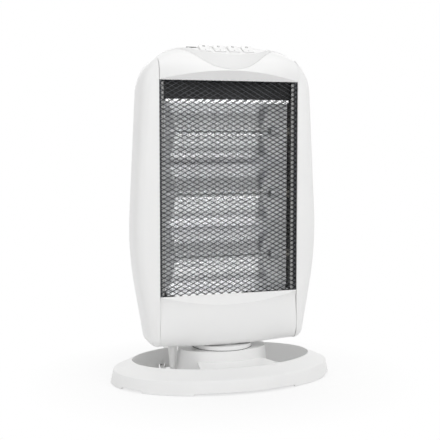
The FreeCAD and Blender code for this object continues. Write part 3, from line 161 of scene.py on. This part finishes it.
# Baffle inside the top of the head, charcoal and matt, slightly orange-peeled: painted shade, a dark sheet that
# stands for the dark gap above the reflector.
painted_shade_baffle_coat = moulded("baffle_painted_shade", "#2E2E2F", "#232324", roughness=0.62, spread=0.08,
                     grain_mm=2.4, depth_mm=0.06)
# Tube brackets in a light grey, half dull coat: painted light, far lighter than their bare steel looks in the
# cavity, so that the gap beside the reflector does not go black.
painted_light_grey = moulded("painted_light_bracket_grey", "#DADAD9", "#CFCFCE", roughness=0.4, spread=0.06,
                      grain_mm=2, depth_mm=0.03, IOR=1.53)
# Unglazed steatite of the tube caps: chalky off-white with small pores.
ceramic = moulded("unglazed_ceramic", "#E9E6DE", "#DAD6CC", roughness=0.72, spread=0.08,
                  grain_mm=0.7, depth_mm=0.1)
# Indicator lens: smoked acrylic that reads as a dark slit while the lamp is off.
smoked_lens = moulded("smoked_acrylic", "#3A3A3C", "#2E2E30", roughness=0.12, spread=0.03,
                      grain_mm=6, depth_mm=0.01, IOR=1.49)
# Ink of the printed key marks: dark grey, matt and a little uneven in cover.
key_ink = moulded("pad_printed_ink", "#4A4B4D", "#3E3F41", roughness=0.6, spread=0.06,
                  grain_mm=0.4, depth_mm=0.005, edge_mm=0.05)

STREAK_PULL = 25


def sheet_metal(name, light, dark, roughness, spread, streak_mm, depth_mm, along_x=False):
    """Rolled or drawn metal: streaks along X, or along Y and Z, in gloss and height, and clouds in tone."""
    made, tree, shader, place = finish_named(name, Metallic=1.0)
    stretch = (STREAK_PULL, 1, 1) if along_x else (1, STREAK_PULL, STREAK_PULL)
    fine = [per_metre(streak_mm) / pull for pull in stretch]
    pulled = add(tree, "ShaderNodeMapping", {"Vector": place, "Scale": fine})
    streaks = add(tree, "ShaderNodeTexNoise", {"Vector": pulled.outputs["Vector"], "Scale": 1.0,
                                               "Detail": 5.0})
    clouds = add(tree, "ShaderNodeTexNoise", {"Vector": place, "Scale": per_metre(SHEET_CLOUD), "Detail": 3.0})
    tone = add(tree, "ShaderNodeMix", {"Factor": clouds.outputs["Fac"], "A": linear(dark),
                                       "B": linear(light)}, data_type="RGBA")
    tree.links.new(tone.outputs["Result"], shader.inputs["Base Color"])
    gloss = add(tree, "ShaderNodeMapRange", {"Value": streaks.outputs["Fac"],
                                             "From Min": NOISE_LOW, "From Max": NOISE_HIGH,
                                             "To Min": roughness - spread, "To Max": roughness + spread})
    tree.links.new(gloss.outputs["Result"], shader.inputs["Roughness"])
    bump = add(tree, "ShaderNodeBump", {"Height": streaks.outputs["Fac"], "Strength": 0.4,
                                        "Distance": depth_mm * MM})
    tree.links.new(bump.outputs["Normal"], shader.inputs["Normal"])
    return made


# Bright-rolled aluminium of the reflector: near mirror, hazed along the rolling direction.
bright_aluminium = sheet_metal("bright_rolled_aluminium", "#FBFBFC", "#F3F4F5", roughness=0.22,
                               spread=0.06, streak_mm=1.5, depth_mm=0.03, along_x=True)
# End plates, etched so that they scatter: plain light grey where the troughs mirror.
matt_aluminium = sheet_metal("etched_aluminium", "#F8F8F9", "#F0F1F2", roughness=0.4, spread=0.06,
                             streak_mm=2, depth_mm=0.03)
# Zinc-plated collars around the tubes: pale and half dull, so that they melt into the end plates.
zinc_plated = sheet_metal("zinc_plated_steel", "#CDCED0", "#C0C1C3", roughness=0.45, spread=0.06,
                          streak_mm=2, depth_mm=0.02)
# Galvanised steel of chassis, shield and motor: grey, cloudy, half dull.
galvanised = sheet_metal("galvanised_steel", "#A4A6A8", "#8A8C8F", roughness=0.42, spread=0.08,
                         streak_mm=4, depth_mm=0.03)
# Nickel-plated screws and plug pins: clean and bright with fine turning marks.
plated_steel = sheet_metal("nickel_plated_steel", "#CFCDC8", "#BDBBB6", roughness=0.22, spread=0.05,
                           streak_mm=0.6, depth_mm=0.01)
# Chrome on the drawn grille wire with a narrow hard glint along each wire; its deep grey is painted shade for
# the dark surroundings the wire would mirror.
wire_chrome_painted_shade = sheet_metal("drawn_wire_chrome_painted_shade", "#535457", "#434447", roughness=0.14, spread=0.04,
                           streak_mm=2, depth_mm=0.01)
# Strip that carries the grille: blued steel, dark and half dull, so that it sinks behind the net.
blued_steel = sheet_metal("blued_steel_strip", "#5C5D60", "#4D4E51", roughness=0.4, spread=0.06,
                          streak_mm=1, depth_mm=0.02)
# Coiled tungsten of the filaments: dark grey, slightly crusted where it has glowed.
tungsten = sheet_metal("drawn_tungsten", "#7C7A77", "#5F5D5B", roughness=0.42, spread=0.08,
                       streak_mm=0.8, depth_mm=0.02)


def drawn_quartz():
    """Clear glass of the heating tubes, with a thin film from handling that tints and hazes it in patches."""
    made, tree, shader, place = finish_named("drawn_quartz", IOR=1.46, Transmission_Weight=1.0)
    film = add(tree, "ShaderNodeTexNoise", {"Vector": place, "Scale": per_metre(GLASS_FILM), "Detail": 4.0})
    tone = add(tree, "ShaderNodeMix", {"Factor": film.outputs["Fac"], "A": linear("#F0F2F2"),
                                       "B": linear("#FFFFFF")}, data_type="RGBA")
    tree.links.new(tone.outputs["Result"], shader.inputs["Base Color"])
    haze = add(tree, "ShaderNodeMapRange", {"Value": film.outputs["Fac"], "From Min": 0.35, "From Max": 0.75,
                                            "To Min": 0.04, "To Max": 0.16})
    tree.links.new(haze.outputs["Result"], shader.inputs["Roughness"])
    return made


def woven_wrap():
    """Black cloth tape: over-and-under threads, matt with a little fuzz."""
    made, tree, shader, place = finish_named("woven_cloth_tape", Roughness=0.85, Sheen_Weight=0.3)
    # The real threads are 0.9 mm apart; they are drawn 2 mm apart so that they show. A wave texture
    # runs through 20 radians in one unit.
    threads = per_metre(2) * 2 * math.pi / 20
    warp, weft = [add(tree, "ShaderNodeTexWave", {"Vector": place, "Scale": threads, "Distortion": 0.4},
                      bands_direction=direction) for direction in ("X", "Z")]
    weave = add(tree, "ShaderNodeMath", {0: warp.outputs["Fac"], 1: weft.outputs["Fac"]},
                operation="MULTIPLY").outputs["Value"]
    tone = add(tree, "ShaderNodeMix", {"Factor": weave, "A": linear("#141415"), "B": linear("#303032")},
               data_type="RGBA")
    tree.links.new(tone.outputs["Result"], shader.inputs["Base Color"])
    bump = add(tree, "ShaderNodeBump", {"Height": weave, "Strength": 0.5, "Distance": 0.2 * MM})
    tree.links.new(bump.outputs["Normal"], shader.inputs["Normal"])
    return made


quartz = drawn_quartz()
black_wrap = woven_wrap()

FINISHES = {
    white_abs: ["base_shell", "wing_left", "wing_right", "upper_fascia", "lower_fascia", "rear_cover",
                "control_deck", "neck_turntable"],
    white_keys: ["rocker_1", "rocker_2", "rocker_3", "rocker_4"],
    grey_nylon: ["switch_bodies", "terminal_block", "tilt_switch", "fixed_gear", "drive_pinion",
                 "thrust_washer", "pedestal_cover"],
    white_pvc: ["strain_relief", "plug_body"],
    black_rubber: ["foot_pads"],
    black_wrap: ["cord_tie", "wiring_harness"],
    plated_steel: ["plug_pins", "cover_screws", "rear_cover_screws", "neck_screws", "retaining_ring"],
    blued_steel: ["grille_frame"],
    bright_aluminium: ["reflector"],
    matt_aluminium: ["reflector_end_left", "reflector_end_right"],
    # The brackets' light grey is painted light for the gap beside the reflector
    painted_light_grey: ["tube_bracket_left", "tube_bracket_right"],
    galvanised: ["heat_shield", "chassis_plate", "thermal_cutout", "oscillation_motor"],
    # Painted shade: the dark baffle stands for the unlit gap above the reflector
    painted_shade_baffle_coat: ["upper_baffle"],
    tungsten: ["filaments"],
    quartz: ["tube_bottom", "tube_middle", "tube_top", "pilot_lamp"],
    ceramic: ["tube_caps"],
    smoked_lens: ["pilot_lens"],
}
for finish, names in FINISHES.items():
    for name in names:
        for material_slot in nodes[name].material_slots:
            material_slot.material = finish


# New pieces

def piece(name, mesh, finish, body, replaced=()):
    """A finished mesh as an object at the origin that rides on a body."""
    made = bpy.data.objects.new(name, mesh)
    bpy.context.scene.collection.objects.link(made)
    mesh.materials.clear()
    mesh.materials.append(finish)
    if body:
        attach(made, body)
    if replaced:
        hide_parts(*replaced)
    return made


def mesh_from(name, shape, smooth=True):
    """Turns a bmesh into a mesh, with its faces outwards."""
    bmesh.ops.recalc_face_normals(shape, faces=shape.faces)
    made = bpy.data.meshes.new(name)
    shape.to_mesh(made)
    shape.free()
    for face in made.polygons:
        face.use_smooth = smooth
    return made


def pour(shape, target):
    """Moves all of one bmesh into another."""
    carrier = bpy.data.meshes.new("carrier")
    shape.to_mesh(carrier)
    shape.free()
    target.from_mesh(carrier)
    bpy.data.meshes.remove(carrier)


def weld(shape, distance):
    """Makes doubled points one."""
    bmesh.ops.remove_doubles(shape, verts=shape.verts, dist=distance)


def circle_outline(shape, sides, radius, place):
    """A circle's vertices and edges."""
    corners = bmesh.ops.create_circle(shape, segments=sides, radius=radius, matrix=place)["verts"]
    return corners + list(dict.fromkeys(edge for corner in corners for edge in corner.link_edges))


def spin_round(shape, outline, middle, axis, steps, climb=0.0):
    """Turns an outline once round an axis; without a climb it closes into a ring."""
    bmesh.ops.spin(shape, geom=outline, cent=middle, axis=axis, dvec=axis * (climb / steps),
                   angle=2 * math.pi, steps=steps, use_merge=climb == 0)


# Distances below which points are doubled
WELD = 0.01 * MM
MARK_WELD = 0.005 * MM
FINE_WELD = 0.002 * MM

# Mains lead: from the boot down to the floor, out through the notches of the ring, then the put-away
# coil behind the base and up to the plug. Points in millimetres.

CORD_DIAMETER = 6.4 * MM
LEAD_ROUTE = [(-78, 0, 20), (-78, 0, 3.2), (-78.5, 27, 3.2), (-73, 73, 3.2), (-62, 110, 3.2),
              (-28, 156, 4.6)]
COIL_CENTRE = (18, 206)
COIL_RADIUS = 46
COIL_STEP = 4.2
COIL_LEVEL = 4.6
COIL_LAYER = 7
HALF_TURNS_IN = 5
POINTS_PER_HALF_TURN = 8
TAIL_ROUTE = [(64, 194, 11.6), (64, 180, 14.4), (64, 170, 14.4)]


def coil_points():
    """Spirals in on the floor, climbs one layer in half a turn and spirals out on top."""
    points = []
    steps = POINTS_PER_HALF_TURN
    total = 2 * HALF_TURNS_IN + 1
    # A spline of this kind passes inside its points, so they stand a little further out
    outwards = 1 / math.cos(math.pi / 2 / steps)
    for index in range(total * steps + 1):
        half_turns = index / steps
        inward = min(half_turns, HALF_TURNS_IN) - max(0, half_turns - HALF_TURNS_IN - 1)
        climb = min(1, max(0, half_turns - HALF_TURNS_IN))
        reach = (COIL_RADIUS - COIL_STEP * inward) * outwards
        angle = math.pi * (1 - half_turns)
        points.append((COIL_CENTRE[0] + reach * math.cos(angle), COIL_CENTRE[1] + reach * math.sin(angle),
                       COIL_LEVEL + COIL_LAYER * climb))
    return points


lead_curve = bpy.data.curves.new("mains_lead_line", "CURVE")
lead_curve.dimensions = "3D"
lead_spline = lead_curve.splines.new("NURBS")
lead_points = LEAD_ROUTE + coil_points() + TAIL_ROUTE
lead_spline.points.add(len(lead_points) - 1)
for lead_point, (x, y, z) in zip(lead_spline.points, lead_points):
    lead_point.co = (x * MM, y * MM, z * MM, 1)
lead_spline.order_u = 3
lead_spline.use_endpoint_u = True
lead_spline.resolution_u = 6
lead_line = bpy.data.objects.new("mains_lead_line", lead_curve)
bpy.context.scene.collection.objects.link(lead_line)
bpy.context.view_layer.update()
line_mesh = bpy.data.meshes.new_from_object(lead_line)
lead_curve.bevel_depth = CORD_DIAMETER / 2
lead_curve.bevel_resolution = 3
lead_curve.use_fill_caps = True
bpy.context.view_layer.update()
depsgraph = bpy.context.evaluated_depsgraph_get()
tube_mesh = bpy.data.meshes.new_from_object(lead_line.evaluated_get(depsgraph))
bpy.data.objects.remove(lead_line)
lead_tube = bmesh.new()
lead_tube.from_mesh(tube_mesh)
weld(lead_tube, WELD)
mains_lead = piece("mains_lead", mesh_from("mains_lead", lead_tube), white_pvc, None,
                   ["cord_lead", "cord_coil"])
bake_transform(mains_lead)

# Wire grille: two sets of straight wires that lean opposite ways and are pressed together where they cross

WIRE_RADIUS = 0.64 * MM
WIRE_SIDES = 6
REAR_SET_DEPTH = 0.6 * WIRE_RADIUS
DIAMOND_WIDE = 12.5 * MM
DIAMOND_HIGH = 6.7 * MM
# A wire that crosses less of the net's width than this is left out
LEAST_SHARE = 0.01


def wire_between(shape, start, end):
    """One round grille wire."""
    run = end - start
    turn = UPWARDS.rotation_difference(run.normalized()).to_matrix().to_4x4()
    bmesh.ops.create_cone(shape, cap_ends=True, segments=WIRE_SIDES, radius1=WIRE_RADIUS, radius2=WIRE_RADIUS,
                          depth=run.length, matrix=Matrix.Translation((start + end) / 2) @ turn)


net_low, net_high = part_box("grille_mesh")
middle_x = (net_low[0] + net_high[0]) / 2
half_wide = (net_high[0] - net_low[0]) / 2
rise = 2 * half_wide * DIAMOND_HIGH / DIAMOND_WIDE
wire_count = int((net_high[2] - net_low[2] + rise) / DIAMOND_HIGH) + 1
net = bmesh.new()
for lean, layer_y in ((1, net_low[1] + WIRE_RADIUS), (-1, net_high[1] - REAR_SET_DEPTH)):
    for index in range(wire_count):
        foot = net_low[2] - rise + index * DIAMOND_HIGH
        # Shares of the way across at which the wire enters and leaves the net
        low_share = max(0, (net_low[2] - foot) / rise)
        high_share = min(1, (net_high[2] - foot) / rise)
        if high_share - low_share >= LEAST_SHARE:
            start, end = [Vector((middle_x + lean * half_wide * (2 * share - 1), layer_y, foot + rise * share))
                          for share in (low_share, high_share)]
            wire_between(net, start, end)
# The wires' deep grey is painted shade for the dark surroundings they would mirror
piece("wire_grille", mesh_from("wire_grille", net), wire_chrome_painted_shade, "head", ["grille_mesh"])

# Filaments: a coil of wire along each tube, held off the glass by rings

FILAMENT_RADIUS = 1.2 * MM
FILAMENT_WIRE = 0.32 * MM
FILAMENT_SIDES = 5
TURN_STEPS = 12
COIL_DOUBLINGS = 7
RING_PITCH = 25 * MM
RING_RADIUS = 4.1 * MM
RING_STEPS = 16
RINGS_EACH_SIDE = 3


def wire_round(shape, middle, radius, steps, climb=0.0):
    """Filament wire bent once round the X axis: one turn of the coil, or a closed ring without a climb."""
    place = Matrix.Translation(middle + UPWARDS * radius) @ QUARTER_TURN
    outline = circle_outline(shape, FILAMENT_SIDES, FILAMENT_WIRE, place)
    spin_round(shape, outline, middle, ACROSS, steps, climb)


TUBES = ("tube_bottom", "tube_middle", "tube_top")
filaments = bmesh.new()
for tube in TUBES:
    tube_low, tube_high = [Vector(corner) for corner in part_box(tube)]
    tube_middle = (tube_low + tube_high) / 2
    coil_length = tube_high.x - tube_low.x - 2 * FILAMENT_WIRE
    pitch = coil_length / 2 ** COIL_DOUBLINGS
    filament = bmesh.new()
    wire_round(filament, tube_middle - ACROSS * (coil_length / 2), FILAMENT_RADIUS - FILAMENT_WIRE, TURN_STEPS,
               pitch)
    for doubling in range(COIL_DOUBLINGS):
        copied = bmesh.ops.duplicate(filament, geom=filament.verts[:] + filament.edges[:] + filament.faces[:])
        moved = [item for item in copied["geom"] if isinstance(item, bmesh.types.BMVert)]
        bmesh.ops.translate(filament, verts=moved, vec=ACROSS * (pitch * 2 ** doubling))
    weld(filament, FINE_WELD)
    bmesh.ops.holes_fill(filament, edges=filament.edges, sides=FILAMENT_SIDES)
    for index in range(-RINGS_EACH_SIDE, RINGS_EACH_SIDE + 1):
        wire_round(filament, tube_middle + ACROSS * (index * RING_PITCH), RING_RADIUS, RING_STEPS)
    pour(filament, filaments)
weld(filaments, FINE_WELD)
piece("coiled_filaments", mesh_from("coiled_filaments", filaments), tungsten, "head",
      ["filaments"])

# Collars that close the holes where the tubes pass through the slanted end plates

COLLAR_OUTER = 7.6 * MM
COLLAR_INNER = 5.7 * MM
COLLAR_MIDDLE = 82 * MM
COLLAR_LENGTH = 15 * MM
COLLAR_EDGE = 1.2 * MM
COLLAR_STEPS = 24
COLLAR_SECTION = [(-COLLAR_LENGTH / 2, COLLAR_INNER), (-COLLAR_LENGTH / 2, COLLAR_OUTER),
                  (COLLAR_LENGTH / 2, COLLAR_OUTER), (COLLAR_LENGTH / 2, COLLAR_INNER)]
collars = bmesh.new()
for tube in TUBES:
    tube_low, tube_high = [Vector(corner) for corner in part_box(tube)]
    for side in (-1, 1):
        middle = (tube_low + tube_high) / 2 + ACROSS * (side * COLLAR_MIDDLE)
        section = [collars.verts.new(middle + ACROSS * x + UPWARDS * radius) for x, radius in COLLAR_SECTION]
        for index in range(len(section)):
            collars.edges.new((section[index - 1], section[index]))
        bmesh.ops.bevel(collars, geom=section[1:3], offset=COLLAR_EDGE, offset_type="OFFSET",
                        affect="VERTICES", segments=3, profile=0.5, material=-1)
        loop = [edge for edge in collars.edges if not edge.link_faces]
        corners = list(dict.fromkeys(corner for edge in loop for corner in edge.verts))
        spin_round(collars, corners + loop, middle, ACROSS, COLLAR_STEPS)
weld(collars, FINE_WELD)
piece("tube_collars", mesh_from("tube_collars", collars), zinc_plated, "head")

# Keys: the moulded caps with soft edges, a printed ring at the raised rear end and a bar at the low end

KEYS = 4
# The deck slopes and each key leans further, with its rear end up
DECK_SLOPE = 26
KEY_TILT = 8
KEY_EDGE = 0.8 * MM
FLAT_ANGLE = math.radians(1)
SHARP_ANGLE = math.radians(30)
MARK_REACH = 5.2 * MM
MARK_PROUD = 0.06 * MM
RING_LINE = 0.45 * MM
RING_LINE_SIDES = 4
RING_MARK = 1.5 * MM
RING_MARK_STEPS = 24
BAR_SIZE = (0.8 * MM, 2.6 * MM, 2 * MARK_PROUD)
key_lean = math.radians(DECK_SLOPE + KEY_TILT)
key_up = Vector((0, -math.sin(key_lean), math.cos(key_lean)))
key_rear = Vector((0, math.cos(key_lean), math.sin(key_lean)))

for number in range(1, KEYS + 1):
    low, high = [Vector(corner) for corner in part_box("rocker_%d" % number)]
    cap = bmesh.new()
    cap.from_mesh(nodes["rocker_%d" % number].data)
    weld(cap, WELD)
    bmesh.ops.dissolve_limit(cap, angle_limit=FLAT_ANGLE, verts=cap.verts, edges=cap.edges)
    sharp = [edge for edge in cap.edges if edge.is_manifold and edge.calc_face_angle() > SHARP_ANGLE]
    bmesh.ops.bevel(cap, geom=sharp, offset=KEY_EDGE, offset_type="OFFSET", affect="EDGES", segments=3,
                    profile=0.5, material=-1, clamp_overlap=True)
    surface = BVHTree.FromBMesh(cap)
    piece("key_cap_%d" % number, mesh_from("key_cap_%d" % number, cap), white_keys, "key_%d" % number,
          ["rocker_%d" % number])
    marks = bmesh.new()
    for reach in (-MARK_REACH, MARK_REACH):
        above = (low + high) / 2 + key_rear * reach + key_up * (high - low).length
        seat, normal = surface.ray_cast(above, -key_up)[:2]
        turn = Matrix((ACROSS, normal.cross(ACROSS), normal)).transposed().to_4x4()
        seated = Matrix.Translation(seat) @ turn
        if reach < 0:
            bmesh.ops.create_cube(marks, size=1.0, matrix=seated @ Matrix.Diagonal((*BAR_SIZE, 1)))
        else:
            ring = bmesh.new()
            place = Matrix.Translation(ACROSS * RING_MARK) @ QUARTER_TURN
            outline = circle_outline(ring, RING_LINE_SIDES, RING_LINE, place)
            spin_round(ring, outline, (0, 0, 0), UPWARDS, RING_MARK_STEPS)
            flat = Matrix.Diagonal((1, 1, MARK_PROUD / RING_LINE, 1))
            bmesh.ops.transform(ring, verts=ring.verts, matrix=seated @ flat)
            pour(ring, marks)
    weld(marks, MARK_WELD)
    piece("key_marks_%d" % number, mesh_from("key_marks_%d" % number, marks, smooth=False), key_ink,
          "key_%d" % number)


# Floor and soft studio light

def seen_share(tree):
    """1 for rays from the camera, from metal and through glass, and 0 for rays that light the object."""
    path = add(tree, "ShaderNodeLightPath", {})
    mirrored = add(tree, "ShaderNodeMath", {0: path.outputs["Is Camera Ray"], 1: path.outputs["Is Glossy Ray"]},
                   operation="MAXIMUM")
    return add(tree, "ShaderNodeMath", {0: mirrored.outputs[0], 1: path.outputs["Is Transmission Ray"]},
               operation="MAXIMUM").outputs[0]


# Near the object the paper keeps its shadow; further off it runs out into plain white
SHADOW_NEAR = 0.1
SHADOW_FAR = 0.3
WHITE_NEAR = 0.7


def white_paper():
    """Matt white paper that shades under the object and is plain white to the eye elsewhere."""
    made = bpy.data.materials.new("white_paper_floor")
    made.use_nodes = True
    tree = made.node_tree
    tree.nodes.clear()
    paper = add(tree, "ShaderNodeBsdfDiffuse", {"Color": linear("#F8F8F8")})
    glow = add(tree, "ShaderNodeEmission", {"Color": linear("#FFFFFF"), "Strength": 1.0})
    place = add(tree, "ShaderNodeTexCoord", {}).outputs["Object"]
    far_off = add(tree, "ShaderNodeVectorMath", {0: place}, operation="LENGTH")
    whiter = add(tree, "ShaderNodeMapRange", {"Value": far_off.outputs["Value"],
                                              "From Min": SHADOW_NEAR, "From Max": SHADOW_FAR,
                                              "To Min": WHITE_NEAR, "To Max": 1.0})
    share = add(tree, "ShaderNodeMath", {0: seen_share(tree), 1: whiter.outputs["Result"]},
                operation="MULTIPLY")
    mixed = add(tree, "ShaderNodeMixShader", {0: share.outputs[0], 1: paper.outputs[0], 2: glow.outputs[0]})
    add(tree, "ShaderNodeOutputMaterial", {"Surface": mixed.outputs[0]})
    return made


FLOOR_SIZE = 4.0
floor_shape = bmesh.new()
bmesh.ops.create_grid(floor_shape, x_segments=1, y_segments=1, size=FLOOR_SIZE)
floor_mesh = mesh_from("floor", floor_shape, smooth=False)
floor_mesh.materials.append(white_paper())
floor = bpy.data.objects.new("floor", floor_mesh)
bpy.context.scene.collection.objects.link(floor)

AMBIENT = 0.6
world = bpy.data.worlds.new("studio")
bpy.context.scene.world = world
world.use_nodes = True
sky = world.node_tree
sky.nodes.clear()
ambient = add(sky, "ShaderNodeBackground", {"Color": linear("#FFFFFF"), "Strength": AMBIENT})
backdrop = add(sky, "ShaderNodeBackground", {"Color": linear("#FFFFFF"), "Strength": 1.0})
studio = add(sky, "ShaderNodeMixShader", {0: seen_share(sky), 1: ambient.outputs[0], 2: backdrop.outputs[0]})
add(sky, "ShaderNodeOutputWorld", {"Surface": studio.outputs[0]})


def softbox(name, place, aim, wide, high, watts):
    """A soft lamp that faces the point it is aimed at."""
    data = bpy.data.lights.new(name, "AREA")
    data.shape = "RECTANGLE"
    data.size = wide
    data.size_y = high
    data.energy = watts
    lamp = bpy.data.objects.new(name, data)
    lamp.location = place
    lamp.rotation_euler = (Vector(aim) - Vector(place)).to_track_quat("-Z", "Y").to_euler()
    bpy.context.scene.collection.objects.link(lamp)


HEAD_MIDDLE = (0, 0, 0.25)
HEAD_TOP = (0, -0.1, 0.43)
softbox("key_softbox", (0.25, -1.0, 1.35), HEAD_MIDDLE, wide=1.2, high=1.2, watts=4.6)
softbox("left_softbox", (-1.6, -0.6, 0.9), HEAD_MIDDLE, wide=1.2, high=1.2, watts=2.7)
softbox("front_softbox", (-0.2, -2.2, 0.35), HEAD_MIDDLE, wide=1.2, high=1.2, watts=2.2)
softbox("top_softbox", (0.1, -0.3, 2.2), HEAD_MIDDLE, wide=1.6, high=1.6, watts=6.3)
softbox("back_softbox", (0.5, 1.9, 1.2), HEAD_MIDDLE, wide=1.4, high=1.4, watts=6)
# A narrow strip where the grille would mirror it to the camera gives the reflector its sparkle
softbox("strip_light", (0.47, -1.35, 0.52), HEAD_TOP, wide=0.4, high=0.04, watts=0.5)

bpy.context.scene.view_settings.view_transform = "Standard"
